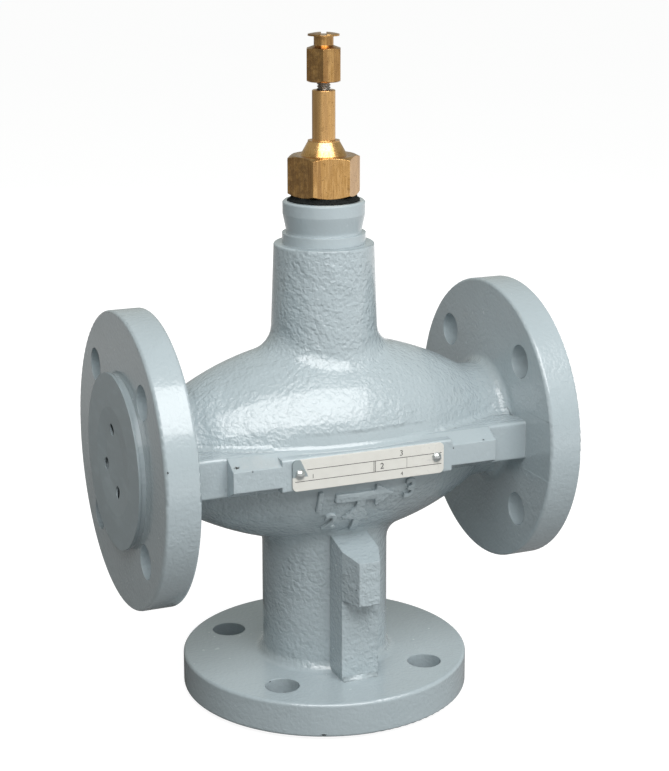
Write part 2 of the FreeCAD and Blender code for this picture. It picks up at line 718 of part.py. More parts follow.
hex_chamfer(gland_housing, "hex_across", HEX_LEVEL, "+", "hex_chamfer_dia", "hex_chamfer_angle")
hex_chamfer(gland_housing, "hex_across", HEX_END, "-", "hex_chamfer_dia", "hex_chamfer_angle")
PACKING_END = "(spigot_depth + gasket_thick + packing_top)"
revolve(gland_housing, "packing_bore_and_guide", [
    ("0", "-overrun"),
    ("packing_bore / 2", "-overrun"),
    ("packing_bore / 2", PACKING_END),
    ("stem_dia / 2 + running_gap", PACKING_END),
    ("stem_dia / 2 + running_gap", f"{TUBE_END} + overrun"),
    ("0", f"{TUBE_END} + overrun"),
], "Groove")

# Flat gasket between the neck and the hexagon
bonnet_gasket = ring("bonnet_gasket", "thread_dia / 2", "gasket_dia / 2", "gasket_thick", NECK_TOP)

# Guide bush, screwed into the housing from below, with a seal in its groove and a driver slot
RUNNING_BORE = "(stem_dia / 2 + running_gap)"
PACKING_OUTER = "(packing_bore / 2 - fit_gap)"
guide_bush = new_body("guide_bush", SPIGOT_BASE)
GROOVE_BASE = "((bush_height - seal_groove_height) / 2)"
revolve(guide_bush, "bush", [
    (RUNNING_BORE, "0"),
    (PACKING_OUTER, "0"),
    (PACKING_OUTER, "bush_height"),
    (RUNNING_BORE, "bush_height"),
    (RUNNING_BORE, f"{GROOVE_BASE} + seal_groove_height"),
    ("seal_groove_dia / 2", f"{GROOVE_BASE} + seal_groove_height"),
    ("seal_groove_dia / 2", GROOVE_BASE),
    (RUNNING_BORE, GROOVE_BASE),
])
bush_slot = sketch_on(guide_bush, "XY_Plane", "driver_slot_plan")
outline(bush_slot, box("-packing_bore", "packing_bore", "-bush_slot / 2", "bush_slot / 2"))
extrude(guide_bush, "driver_slot", bush_slot, "bush_slot_depth", kind="Pocket", reverse=True)
stem_o_ring = new_body("stem_o_ring", f"{SPIGOT_BASE} + {GROOVE_BASE}")
o_ring_section = sketch_on(stem_o_ring, "XZ_Plane", "ring_section")
circle(o_ring_section, f"{RUNNING_BORE} + seal_section / 2", "seal_groove_height / 2", "seal_section")
o_ring = stem_o_ring.newObject("PartDesign::Revolution", "o_ring")
o_ring.Profile = o_ring_section
o_ring.ReferenceAxis = (o_ring_section, ["V_Axis"])
o_ring.Angle = 360

# Packing stack above the bush: base ring, three vee rings, top ring, spring and thrust washer
VEE_MIDDLE = "((stem_dia / 2 + running_gap + packing_bore / 2 - fit_gap) / 2)"
BASE_RING = f"({SPIGOT_BASE} + bush_height)"
FIRST_VEE = f"({BASE_RING} + base_ring_height + fit_gap)"
VEE_PITCH = "(vee_height + fit_gap)"
packing_base_ring = new_body("packing_base_ring", BASE_RING)
revolve(packing_base_ring, "ring", [
    (RUNNING_BORE, "0"),
    (PACKING_OUTER, "0"),
    (PACKING_OUTER, "base_ring_height"),
    (VEE_MIDDLE, "base_ring_height + vee_rise"),
    (RUNNING_BORE, "base_ring_height"),
])
vee_rings = []
for number, place in enumerate(("lower", "middle", "upper")):
    vee = new_body(f"packing_ring_{place}", f"{FIRST_VEE} + {number} * {VEE_PITCH}")
    revolve(vee, "vee", [
        (RUNNING_BORE, "0"),
        (VEE_MIDDLE, "vee_rise"),
        (PACKING_OUTER, "0"),
        (PACKING_OUTER, "vee_height"),
        (VEE_MIDDLE, "vee_height + vee_rise"),
        (RUNNING_BORE, "vee_height"),
    ])
    vee_rings.append(vee)
TOP_RING = f"({FIRST_VEE} + 3 * {VEE_PITCH})"
packing_top_ring = new_body("packing_top_ring", TOP_RING)
revolve(packing_top_ring, "ring", [
    (RUNNING_BORE, "0"),
    (VEE_MIDDLE, "vee_rise"),
    (PACKING_OUTER, "0"),
    (PACKING_OUTER, "top_ring_height"),
    (RUNNING_BORE, "top_ring_height"),
])
thrust_washer = ring("thrust_washer", RUNNING_BORE, PACKING_OUTER, "thrust_washer",
                     f"{PACKING_TOP} - thrust_washer")
packing_spring = new_body("packing_spring", f"{TOP_RING} + top_ring_height + fit_gap")
SPRING_SPACE = f"({PACKING_TOP} - thrust_washer - {TOP_RING} - top_ring_height - 2 * fit_gap)"
wire = sketch_on(packing_spring, "XZ_Plane", "wire_section")
circle(wire, "spring_dia / 2", "spring_wire / 2", "spring_wire")
coil = packing_spring.newObject("PartDesign::AdditiveHelix", "coil")
coil.Profile = wire
coil.ReferenceAxis = (wire, ["V_Axis"])
coil.Mode = "height-turns-angle"
coil.setExpression("Height", bound(f"{SPRING_SPACE} - spring_wire"))
coil.setExpression("Turns", bound("spring_turns"))

# Stem button: hexagon with a sloping shoulder, neck for the actuator's fork, and a slotted cap
stem_button = new_body("stem_button", BUTTON_BASE)
button_plan = sketch_on(stem_button, "XY_Plane", "button_plan")
outline(button_plan, hexagon("button_across", "button_turn"))
extrude(stem_button, "button_hexagon", button_plan, "button_hex_height")
hex_chamfer(stem_button, "button_across", "0", "+", "button_chamfer_dia", "button_chamfer_angle")
hex_chamfer(stem_button, "button_across", "button_hex_height", "-", "button_neck_dia",
            "button_shoulder_angle")
CAP_BASE = "(button_hex_height + button_neck_height)"
CAP_RIM = f"({CAP_BASE} + button_cap_rim)"
CAP_TOP = f"({CAP_RIM} + button_crown)"
CAP_ARC = "((button_cap_dia / 2) ^ 2 + button_crown ^ 2) / (2 * button_crown)"
revolve(stem_button, "neck_and_cap", [
    ("0", CAP_TOP, CAP_ARC),
    ("button_cap_dia / 2", CAP_RIM),
    ("button_cap_dia / 2", CAP_BASE),
    ("button_neck_dia / 2", CAP_BASE),
    ("button_neck_dia / 2", "button_hex_height / 2"),
    ("0", "button_hex_height / 2"),
])
revolve(stem_button, "thread_hole",
        box("0", "stem_dia / 2 + fit_gap", "-overrun", "button_thread_depth"), "Groove")
slot = sketch_on(stem_button, "XY_Plane", "slot_plan", lift=CAP_TOP)
SLOT_TURN = "(button_turn + 60)"
outline(slot, [(f"{along} * cos{SLOT_TURN} - {aside} * sin{SLOT_TURN}",
                f"{along} * sin{SLOT_TURN} + {aside} * cos{SLOT_TURN}")
               for along, aside in box("-button_cap_dia", "button_cap_dia", "-button_slot / 2",
                                       "button_slot / 2")])
extrude(stem_button, "driver_slot", slot, "button_slot_depth", kind="Pocket")

# Nameplate and the two rivets that hold it
nameplate = new_body("nameplate", "axis_height")
plate_outline = sketch_on(nameplate, "XZ_Plane", "plate_outline", lift=PLATE_BACK)
outline(plate_outline, box("-plate_length / 2", "plate_length / 2", "-plate_height / 2", "plate_height / 2"))
for side in ("-", ""):
    circle(plate_outline, side + "rivet_spacing / 2", "rivet_lift", "rivet_shank + 2 * fit_gap")
extrude(nameplate, "plate", plate_outline, "plate_thick")


def plate_corner(edge):
    """Short edge through the plate at one of its corners."""
    return isinstance(edge.Curve, Part.Line) and abs(edge.Length - value("plate_thick")) < SAME


round_edges(nameplate, "plate_corners", "plate_corner", plate_corner)

rivets = []
HEAD_ARC = "((rivet_head ^ 2 / 4 + rivet_head_height ^ 2) / (2 * rivet_head_height))"
for side, sign in (("left", "-"), ("right", "")):
    rivet = new_body(f"nameplate_rivet_{side}", "axis_height + rivet_lift")
    rivet.Placement.Rotation = FreeCAD.Rotation(FreeCAD.Vector(1, 0, 0), 90)
    rivet.setExpression("Placement.Base.x", bound(f"{sign}rivet_spacing / 2"))
    rivet.setExpression("Placement.Base.y", bound(f"-{PLATE_BACK} - plate_thick"))
    revolve(rivet, "rivet", [
        ("0", "rivet_head_height", HEAD_ARC),
        ("rivet_head / 2", "0"),
        ("rivet_shank / 2", "0"),
        ("rivet_shank / 2", "-rivet_length"),
        ("0", "-rivet_length"),
    ])
    rivets.append(rivet)

# Thin dished cover over the inlet port, with three small round holes
port_cover = new_body("port_cover", "axis_height")
COVER_RADIUS = f"({RAISED_DIA} / 2 + cover_lap)"
port_cover.Placement.Rotation = FreeCAD.Rotation(FreeCAD.Vector(0, 1, 0), -90)
port_cover.setExpression("Placement.Base.x", bound(f"-{FLANGE_FACE}"))
revolve(port_cover, "cover", [
    ("0", "-cover_dish_depth"),
    ("cover_dish_floor / 2", "-cover_dish_depth"),
    ("port_bore / 2 - cover_dish_gap", "0"),
    (COVER_RADIUS, "0"),
    (COVER_RADIUS, "cover_thick"),
    ("cover_dish_dia / 2", "cover_thick"),
    ("cover_dish_floor / 2", "cover_thick - cover_dish_depth"),
    ("0", "cover_thick - cover_dish_depth"),
])
cover_holes = sketch_on(port_cover, "XY_Plane", "cover_hole_circles", lift="-cover_dish_depth - overrun")
for turn in ("cover_hole_first", "cover_hole_second", "cover_hole_third"):
    across = f"cover_hole_circle / 2 * sin({turn})"
    down = f"-cover_hole_circle / 2 * cos({turn})"
    circle(cover_holes, across, down, "cover_hole")
extrude(port_cover, "cover_holes", cover_holes, "cover_thick + cover_dish_depth + 2 * overrun",
        kind="Pocket", reverse=True)

doc.recompute()
pieces = [valve_body, upper_seat_ring, lower_seat_ring, valve_plug, valve_stem, plug_washer, plug_nut,
          gland_housing, bonnet_gasket, guide_bush, stem_o_ring, packing_base_ring, *vee_rings,
          packing_top_ring, packing_spring, thrust_washer, stem_button, nameplate, *rivets, port_cover]
for item in doc.Objects:
    if "Invalid" in item.State or "Error" in item.State:
        raise RuntimeError(f"{item.Label} did not compute: {item.State}")
for piece in pieces:
    if piece.Shape.isNull() or not piece.Shape.isValid():
        raise RuntimeError(f"{piece.Label} has no valid shape")
os.makedirs("parts", exist_ok=True)
for piece in pieces:
    piece.Shape.exportStep(f"parts/{piece.Label}.step")
    box_size = piece.Shape.BoundBox
    print(f"{piece.Label}: {len(piece.Shape.Solids)} solid, {piece.Shape.Volume:.1f} mm3, "
          f"z {box_size.ZMin:.2f} to {box_size.ZMax:.2f}")
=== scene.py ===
import json
import math

import bmesh
import bpy
from mathutils import Matrix, Vector, noise
from mathutils.bvhtree import BVHTree


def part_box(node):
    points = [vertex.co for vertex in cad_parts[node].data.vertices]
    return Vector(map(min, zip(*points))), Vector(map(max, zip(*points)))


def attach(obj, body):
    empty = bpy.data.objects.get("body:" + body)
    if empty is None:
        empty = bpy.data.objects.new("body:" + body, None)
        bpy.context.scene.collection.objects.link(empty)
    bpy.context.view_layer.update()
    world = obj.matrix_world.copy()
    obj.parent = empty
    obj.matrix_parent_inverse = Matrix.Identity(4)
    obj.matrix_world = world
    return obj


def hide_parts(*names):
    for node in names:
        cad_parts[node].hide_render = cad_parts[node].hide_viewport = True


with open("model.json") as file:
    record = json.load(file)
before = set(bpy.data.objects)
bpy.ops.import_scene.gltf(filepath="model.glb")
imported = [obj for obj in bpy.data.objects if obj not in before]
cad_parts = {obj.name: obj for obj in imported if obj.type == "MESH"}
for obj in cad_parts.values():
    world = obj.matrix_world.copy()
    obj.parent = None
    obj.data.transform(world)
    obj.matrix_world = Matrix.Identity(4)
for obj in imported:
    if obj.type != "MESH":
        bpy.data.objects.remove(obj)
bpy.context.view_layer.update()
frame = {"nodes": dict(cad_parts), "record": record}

MM = 0.001

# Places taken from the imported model, in metres
MOUNTS = {mount["name"]: mount for mount in frame["record"]["mounts"]}
AXIS = MOUNTS["outlet_port_bolts"]["pos_m"][2]
PLATE_LOW, PLATE_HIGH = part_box("nameplate")
GASKET_LOW, GASKET_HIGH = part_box("bonnet_gasket")
HOUSING_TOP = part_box("gland_housing")[1].z
STEM_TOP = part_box("valve_stem")[1].z
BODY_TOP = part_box("valve_body")[1].z

# Places of the casting that no mount or box gives
SHOULDER = BODY_TOP - 17.3 * MM          # foot of the turned collar
FLANGE_BACK = 74 * MM                    # back of each side flange, from the middle
LOWER_FLANGE_TOP = 16 * MM
RIB_FRONT = -38 * MM                     # the rib and its lugs lie in front of this
RIB_HALF_HEIGHT = 12 * MM                # of the rib with its blends
TUBE_LENGTH = 25 * MM                    # of the brass guide tube


# Shaders. A noise lies between 0 and 1, and the two numbers that follow it in a fade are levels of it.

# Ragged spots: grain, sway and edge of the outline, as shares of a spot's reach
SPOT_GRAIN = 0.8
SPOT_SWAY = 3.2
SPOT_EDGE = (2.0, 2.3)

EDGE_SAMPLES = 6


class Wiring:
    """Short helpers for wiring shader nodes."""

    def __init__(self, tree):
        self.tree = tree

    def add(self, kind, **settings):
        """One node, with its settings."""
        node = self.tree.nodes.new(kind)
        for name, setting in settings.items():
            setattr(node, name, setting)
        return node

    def join(self, source, socket):
        """Wire an output to an input, or set the input to a plain value."""
        if isinstance(source, bpy.types.NodeSocket):
            self.tree.links.new(source, socket)
        else:
            socket.default_value = source

    def maths(self, operation, *sources):
        """One maths node."""
        node = self.add("ShaderNodeMath", operation=operation)
        for source, socket in zip(sources, node.inputs):
            self.join(source, socket)
        return node.outputs[0]


class Look(Wiring):
    """A material, and the steps that its shader is made of."""

    def __init__(self, name):
        self.material = bpy.data.materials.new(name)
        self.material.use_nodes = True
        super().__init__(self.material.node_tree)
        self.surface = self.tree.nodes["Principled BSDF"]
        self.where = self.add("ShaderNodeTexCoord").outputs["Object"]
        split = self.add("ShaderNodeSeparateXYZ")
        self.join(self.where, split.inputs[0])
        self.x, self.y, self.z = split.outputs

    def fade(self, source, low, high):
        """0 below low, 1 above high, smooth between."""
        node = self.add("ShaderNodeMapRange", interpolation_type="SMOOTHSTEP")
        self.join(source, node.inputs["Value"])
        node.inputs["From Min"].default_value = low
        node.inputs["From Max"].default_value = high
        return node.outputs[0]

    def gone(self, source, low, high):
        """1 below low, 0 above high, smooth between."""
        return self.maths("SUBTRACT", 1.0, self.fade(source, low, high))

    def stretched(self, scale):
        """The position, scaled along each axis."""
        node = self.add("ShaderNodeVectorMath", operation="MULTIPLY")
        self.join(self.where, node.inputs[0])
        node.inputs[1].default_value = scale
        return node.outputs[0]

    def grain(self, size, detail=2.0, roughness=0.5, stretch=(1, 1, 1), warp=0.0):
        """Noise with features of about this size in metres."""
        node = self.add("ShaderNodeTexNoise")
        self.join(self.stretched(stretch), node.inputs["Vector"])
        node.inputs["Scale"].default_value = 1 / size
        node.inputs["Detail"].default_value = detail
        node.inputs["Roughness"].default_value = roughness
        node.inputs["Distortion"].default_value = warp
        return node.outputs["Fac"]

    def mix(self, share, first, second):
        """Blend of two colours."""
        node = self.add("ShaderNodeMix", data_type="RGBA")
        self.join(share, node.inputs["Factor"])
        self.join(first, node.inputs["A"])
        self.join(second, node.inputs["B"])
        return node.outputs["Result"]

    def between(self, share, low, high):
        """Number that runs from low to high with a share."""
        return self.maths("MULTIPLY_ADD", share, high - low, low)

    def near(self, place, reach, stretch):
        """1 within reach of a place, fading out at its edge, with a ragged outline."""
        gap = self.add("ShaderNodeVectorMath", operation="DISTANCE")
        self.join(self.stretched(stretch), gap.inputs[0])
        gap.inputs[1].default_value = [along * scale for along, scale in zip(place, stretch)]
        grain = self.grain(reach * SPOT_GRAIN, 4, 0.7)
        ragged = self.maths("MULTIPLY_ADD", grain, reach * SPOT_SWAY, gap.outputs["Value"])
        return self.gone(ragged, *(reach * share for share in SPOT_EDGE))

    def bump(self, height, depth, under=None):
        """Surface relief from a height of 0 to 1, its depth in metres."""
        node = self.add("ShaderNodeBump")
        node.inputs["Distance"].default_value = depth
        self.join(height, node.inputs["Height"])
        if under is not None:
            self.join(under, node.inputs["Normal"])
        return node.outputs["Normal"]

    def rounded(self, radius):
        """Normal that softens sharp edges, as paint does."""
        node = self.add("ShaderNodeBevel", samples=EDGE_SAMPLES)
        node.inputs["Radius"].default_value = radius
        return node.outputs["Normal"]

    def finish(self, colour, roughness, normal=None, metallic=0.0, **plain):
        """Wire up the surface. The plain numbers and colours go on the shader's own sockets."""
        self.join(colour, self.surface.inputs["Base Color"])
        self.join(roughness, self.surface.inputs["Roughness"])
        self.surface.inputs["Metallic"].default_value = metallic
        if normal is not None:
            self.join(normal, self.surface.inputs["Normal"])
        for name, amount in plain.items():
            self.surface.inputs[name.replace("_", " ")].default_value = amount
        return self.material


def rgb(red, green, blue):
    """Linear colour with full cover."""
    return (red, green, blue, 1.0)


# Paint: its colours, the size and share of each kind of bump, and what is left of them where it is calm
PAINT = rgb(0.385, 0.447, 0.474)
PAINT_SHADE = rgb(0.335, 0.392, 0.416)
PRIMER = rgb(0.018, 0.020, 0.021)
SWELL, SWELL_SHARE = 7 * MM, 0.8
PEBBLE, PEBBLE_SHARE = 1.6 * MM, 0.8
FINE, FINE_SHARE = 1.2 * MM, 0.2
BUMP_WARP = 0.3
BUMP_DEPTH = 0.8 * MM
PAINT_EDGE = 0.7 * MM
FLANGE_CALM = 0.32
COLLAR_CALM = 0.12
ROUGH_PATCH, PATCH_BUMPS = 28 * MM, (0.7, 1.15)
SHADE_PATCH, SHADE_MOST = 34 * MM, 0.35
PAINT_GLOSS = (0.2, 0.3)
CHIP_ROUGHNESS = 0.7
CHIP_SUNK = -0.3
COAT, COAT_ROUGHNESS = 0.7, 0.08

# Chips in the paint: place and reach in millimetres, and how each is drawn out along the axes
CHIPS = [((-54.2, -43.2, 114.4), 0.9, (0.6, 1, 1)), ((-55.4, -44.6, 112.6), 0.6, (1, 1, 0.5)),
         ((-48.6, -45.5, 112.8), 0.5, (1, 1, 1)), ((-86.7, -58.7, 121.1), 0.6, (1, 1, 1)),
         ((-5.2, -45.4, 57.9), 0.6, (1, 1, 0.6)), ((-23.3, -55.3, 3.2), 0.8, (0.5, 0.7, 1.4)),
         ((-34.7, -25.5, 15.6), 0.5, (1, 1, 1)), ((51.0, -44.6, 113.4), 0.6, (0.7, 1, 1)),
         ((37.2, -45.5, 112.0), 0.4, (1, 1, 0.7))]


def body_bumps(look):
    """Height of the casting's bumps, lower on the flanges, the rib and the turned collar."""
    on_rim = look.fade(look.maths("ABSOLUTE", look.x), FLANGE_BACK - 2 * MM, FLANGE_BACK + MM)
    on_lower = look.gone(look.z, LOWER_FLANGE_TOP, LOWER_FLANGE_TOP + 2 * MM)
    on_collar = look.fade(look.z, SHOULDER - 0.4 * MM, SHOULDER + 0.2 * MM)
    in_front = look.gone(look.y, RIB_FRONT, RIB_FRONT + 2 * MM)
    lift = look.maths("ABSOLUTE", look.maths("SUBTRACT", look.z, AXIS))
    on_rib = look.maths("MULTIPLY", in_front, look.gone(lift, RIB_HALF_HEIGHT, RIB_HALF_HEIGHT + 2 * MM))
    calm = look.maths("MAXIMUM", look.maths("MAXIMUM", on_rim, on_lower), on_rib)
    left = look.maths("MULTIPLY", look.between(calm, 1.0, FLANGE_CALM),
                      look.between(on_collar, 1.0, COLLAR_CALM))
    patches = look.between(look.fade(look.grain(ROUGH_PATCH, 1), 0.36, 0.66), *PATCH_BUMPS)
    swell = look.maths("MULTIPLY", look.grain(SWELL, 1, warp=BUMP_WARP), SWELL_SHARE)
    pebbles = look.maths("MULTIPLY", look.grain(PEBBLE, 1, 0.4, warp=BUMP_WARP), PEBBLE_SHARE)
    height = look.maths("ADD", swell, pebbles)
    height = look.maths("MULTIPLY_ADD", look.grain(FINE, 1), FINE_SHARE, height)
    return look.maths("MULTIPLY", look.maths("MULTIPLY", height, left), patches)


def body_paint():
    """Thick semi-gloss paint: pebbled on the raw casting, smoother on what was turned."""
    look = Look("body_paint")
    chipped = 0.0
    for place, reach, stretch in CHIPS:
        chipped = look.maths("MAXIMUM", chipped, look.near(Vector(place) * MM, reach * MM, stretch))
    shade = look.fade(look.grain(SHADE_PATCH, 3), 0.3, 0.7)
    colour = look.mix(look.between(shade, 0.0, SHADE_MOST), PAINT, PAINT_SHADE)
    colour = look.mix(chipped, colour, PRIMER)
    roughness = look.maths("MAXIMUM", look.between(look.grain(3 * MM, 2), *PAINT_GLOSS),
                           look.between(chipped, 0.0, CHIP_ROUGHNESS))
    height = look.maths("MULTIPLY_ADD", chipped, CHIP_SUNK, body_bumps(look))
    normal = look.bump(height, BUMP_DEPTH, look.rounded(PAINT_EDGE))
    return look.finish(colour, roughness, normal, Coat_Weight=COAT, Coat_Roughness=COAT_ROUGHNESS)


def cover_paint():
    """The same paint on the thin cover, nearly smooth, with faint smears."""
    look = Look("cover_paint")
    smears = look.grain(7 * MM, 3, stretch=(1, 0.5, 1.6))
    colour = look.mix(look.fade(smears, 0.45, 0.75), PAINT_SHADE, PAINT)
    normal = look.bump(look.grain(1.6 * MM, 2), 0.05 * MM, look.rounded(0.4 * MM))
    return look.finish(colour, look.between(smears, 0.3, 0.46), normal)


# Brass: its colours, one of them painted shade, and how strongly each covers the bright metal
BRASS_BRIGHT = rgb(0.74, 0.44, 0.175)
BRASS_LINE = rgb(0.56, 0.31, 0.105)
BRASS_BAND, BAND_SHARE = rgb(0.36, 0.19, 0.075), 0.6
BRASS_TUBE, TUBE_SHARE = rgb(0.98, 0.60, 0.26), 0.35
BRASS_PAINTED_SHADE, PAINTED_SHADE_SHARES = rgb(0.21, 0.115, 0.055), (0.05, 0.6)
BRASS_STAIN, PATCH_SHARE, SPECK_SHARE = rgb(0.24, 0.125, 0.05), 0.75, 0.45
DRAWN = (1, 1, 0.08)
TURNED = (0.04, 0.04, 1)
HOUSING_SHADED_SIDE = -10 * MM                 # painted shade makes the brass darker brown to the left of this
BUTTON_SHADED_SIDE = -2.6 * MM


def brass(name, tarnish, lie, shaded_side):
    """Brass with fine lines along its lie, tarnished in patches, and darker brown on its left side as painted
    shade.
    """
    look = Look(name)
    lines = look.grain(0.5 * MM, 3, 0.6, lie)
    bands = look.fade(look.grain(2.4 * MM, 2, stretch=(1, 1, 0.06)), 0.5, 0.66)
    colour = look.mix(look.fade(lines, 0.35, 0.65), BRASS_BRIGHT, BRASS_LINE)
    colour = look.mix(look.maths("MULTIPLY", bands, BAND_SHARE), colour, BRASS_BAND)
    on_tube = look.maths("SUBTRACT",
                         look.fade(look.z, HOUSING_TOP - TUBE_LENGTH, HOUSING_TOP - TUBE_LENGTH + 2 * MM),
                         look.fade(look.z, HOUSING_TOP, HOUSING_TOP + MM))
    colour = look.mix(look.maths("MULTIPLY", on_tube, TUBE_SHARE), colour, BRASS_TUBE)
    # Painted shade: mottled dark brown over the left side, where the brass mirrors darker surroundings
    on_left = look.gone(look.x, shaded_side - MM, shaded_side + MM)
    mottled = look.fade(look.grain(2.4 * MM, 4, 0.7), 0.35, 0.6)
    painted_shade = look.maths("MULTIPLY", on_left, look.between(mottled, *PAINTED_SHADE_SHARES))
    colour = look.mix(painted_shade, colour, BRASS_PAINTED_SHADE)
    patches = look.fade(look.grain(4.5 * MM, 4, 0.6), 0.62 - tarnish, 0.86 - tarnish)
    specks = look.fade(look.grain(0.8 * MM, 2), 0.60, 0.72)
    stained = look.maths("MAXIMUM", look.maths("MULTIPLY", patches, PATCH_SHARE),
                         look.maths("MULTIPLY", specks, SPECK_SHARE))
    colour = look.mix(stained, colour, BRASS_STAIN)
    roughness = look.maths("MULTIPLY_ADD", stained, 0.22, look.between(lines, 0.16, 0.34))
    height = look.maths("MULTIPLY_ADD", specks, -0.5, lines)
    normal = look.bump(height, 0.04 * MM, look.rounded(0.3 * MM))
    return look.finish(colour, roughness, normal, metallic=1.0)


def steel(name, colour, dark, size=0.35 * MM):
    """Steel with turning rings and faint oil stains."""
    look = Look(name)
    lines = look.grain(size, 3, 0.6, TURNED)
    oil = look.fade(look.grain(6 * MM, 3), 0.45, 0.7)
    shown = look.mix(look.maths("MULTIPLY", oil, 0.6), colour, dark)
    return look.finish(shown, look.between(lines, 0.2, 0.38), look.bump(lines, 0.02 * MM), metallic=1.0)


# Nameplate: its colours, and the worn wedge round the left rivet, which widens downwards to a ragged edge
CREAMS = rgb(0.62, 0.61, 0.57), rgb(0.69, 0.685, 0.645)
STAMP_GREY, STAMP_SHARE = rgb(0.45, 0.45, 0.44), 0.3
WORN_GREY, SCRATCH_SHARE = rgb(0.27, 0.32, 0.335), 0.25
WEDGE_TOP, WEDGE_SLOPE = 3.4 * MM, 0.47
WEDGE_RAGGED = 0.9 * MM
WEDGE_END = 6.6 * MM                     # down from the plate's top
STAMP_LEFT = 17 * MM


def printed_plate():
    """Cream plate, faintly mottled, its coating worn to grey metal round the left rivet."""
    look = Look("plate_cream")
    mottle = look.grain(3 * MM, 3)
    below = look.maths("SUBTRACT", PLATE_HIGH.z, look.z)
    wedge = look.maths("MULTIPLY_ADD", below, WEDGE_SLOPE, WEDGE_TOP)
    ragged = look.maths("MULTIPLY_ADD", look.grain(1.2 * MM, 3), WEDGE_RAGGED,
                        look.maths("SUBTRACT", look.x, PLATE_LOW.x))
    worn = look.gone(look.maths("SUBTRACT", ragged, wedge), 0.2 * MM, 0.5 * MM)
    worn = look.maths("MULTIPLY", worn, look.gone(below, WEDGE_END, WEDGE_END + 0.6 * MM))
    scratches = look.fade(look.grain(0.5 * MM, 3, 0.7, (0.12, 1, 1)), 0.66, 0.74)
    bared = look.maths("MAXIMUM", worn, look.maths("MULTIPLY", scratches, SCRATCH_SHARE))
    stamped = look.maths("MULTIPLY", look.fade(look.x, STAMP_LEFT, STAMP_LEFT + 2 * MM),
                         look.fade(look.grain(1.4 * MM, 2), 0.55, 0.7))
    colour = look.mix(look.maths("MULTIPLY", stamped, STAMP_SHARE), look.mix(mottle, *CREAMS), STAMP_GREY)
    colour = look.mix(bared, colour, WORN_GREY)
    normal = look.bump(look.maths("ADD", mottle, scratches), 0.03 * MM, look.rounded(0.25 * MM))
    return look.finish(colour, look.between(mottle, 0.32, 0.48), normal)


def dull(name, light, dark, size, roughness, depth=0.04 * MM, shine=0.5):
    """Dull material with a mottled colour and a fine relief."""
    look = Look(name)
    spots = look.grain(size, 4, 0.6)
    colour = look.mix(look.fade(spots, 0.35, 0.65), light, dark)
    rough = look.between(spots, roughness, roughness + 0.15)
    return look.finish(colour, rough, look.bump(spots, depth), Specular_IOR_Level=shine)


PAINTED = body_paint()
COVER = cover_paint()
BRASS = brass("housing_brass", 0.04, DRAWN, HOUSING_SHADED_SIDE)
BUTTON_BRASS = brass("button_brass", 0.12, DRAWN, BUTTON_SHADED_SIDE)
PLUG_BRASS = brass("plug_brass", 0.0, TURNED, HOUSING_SHADED_SIDE)
STEM = steel("stem_steel", rgb(0.50, 0.48, 0.45), rgb(0.17, 0.14, 0.11))
SEAT = steel("seat_steel", rgb(0.56, 0.56, 0.55), rgb(0.30, 0.30, 0.29))
SPRING = steel("spring_steel", rgb(0.42, 0.42, 0.43), rgb(0.16, 0.15, 0.14), 0.2 * MM)
RIVET = steel("rivet_steel", rgb(0.66, 0.68, 0.68), rgb(0.38, 0.40, 0.41))
PLATE = printed_plate()
INK = dull("plate_ink", rgb(0.018, 0.018, 0.018), rgb(0.05, 0.05, 0.048), 1.2 * MM, 0.5, 0.01 * MM)
GASKET = dull("gasket_fibre", rgb(0.004, 0.005, 0.005), rgb(0.018, 0.020, 0.019), 0.6 * MM, 0.7,
              depth=0.4 * MM, shine=0.12)
PACKING = dull("packing_white", rgb(0.80, 0.80, 0.78), rgb(0.66, 0.66, 0.63), 2 * MM, 0.4)
RUBBER = dull("seal_rubber", rgb(0.014, 0.014, 0.014), rgb(0.03, 0.03, 0.03), 0.6 * MM, 0.55)

FINISHES = {
    "valve_body": PAINTED, "port_cover": COVER, "nameplate": PLATE, "gland_housing": BRASS,
    "stem_button": BUTTON_BRASS, "valve_plug": PLUG_BRASS, "guide_bush": PLUG_BRASS,
    "valve_stem": STEM, "upper_seat_ring": SEAT, "lower_seat_ring": SEAT, "plug_washer": SEAT,
    "plug_nut": SEAT, "thrust_washer": SEAT, "packing_spring": SPRING, "bonnet_gasket": GASKET,
    "stem_o_ring": RUBBER, "packing_base_ring": PACKING, "packing_ring_lower": PACKING,
    "packing_ring_middle": PACKING, "packing_ring_upper": PACKING, "packing_top_ring": PACKING,
    "nameplate_rivet_left": RIVET, "nameplate_rivet_right": RIVET,
}
for node, material in FINISHES.items():
    shown = frame["nodes"][node]
    shown.data.materials.clear()
    shown.data.materials.append(material)


# Helpers for pieces

def placed(name, data):
    """New object in the scene."""
    made = bpy.data.objects.new(name, data)
    bpy.context.scene.collection.objects.link(made)
    return made


def piece(name, mesh, material, body):
    """Object for a finished mesh, riding on its body."""
    made = placed(name, mesh)
    mesh.materials.clear()
    mesh.materials.append(material)
    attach(made, body)
    return made


def smooth(mesh):
    """Shade every face smooth."""
    for face in mesh.polygons:
        face.use_smooth = True


def closed(shape, name):
    """Mesh from a working shape, which is then let go."""
    mesh = bpy.data.meshes.new(name)
    shape.to_mesh(mesh)
    shape.free()
    return mesh


def taken(helper):
    """Final mesh of a helper object, which is then removed."""
    bpy.context.view_layer.update()
    mesh = bpy.data.meshes.new_from_object(
        helper.evaluated_get(bpy.context.evaluated_depsgraph_get()))
    bpy.data.objects.remove(helper)
    return mesh


def round_rings(shape, rows, steps):
    """Rings of points round the stem axis, from rows of (height, radius at a turn)."""
    rings = []
    for height, radius in rows:
        turns = [2 * math.pi * step / steps for step in range(steps)]
        reached = [(turn, radius(turn)) for turn in turns]
        rings.append([shape.verts.new((reach * math.cos(turn), reach * math.sin(turn), height))
                      for turn, reach in reached])
    return rings


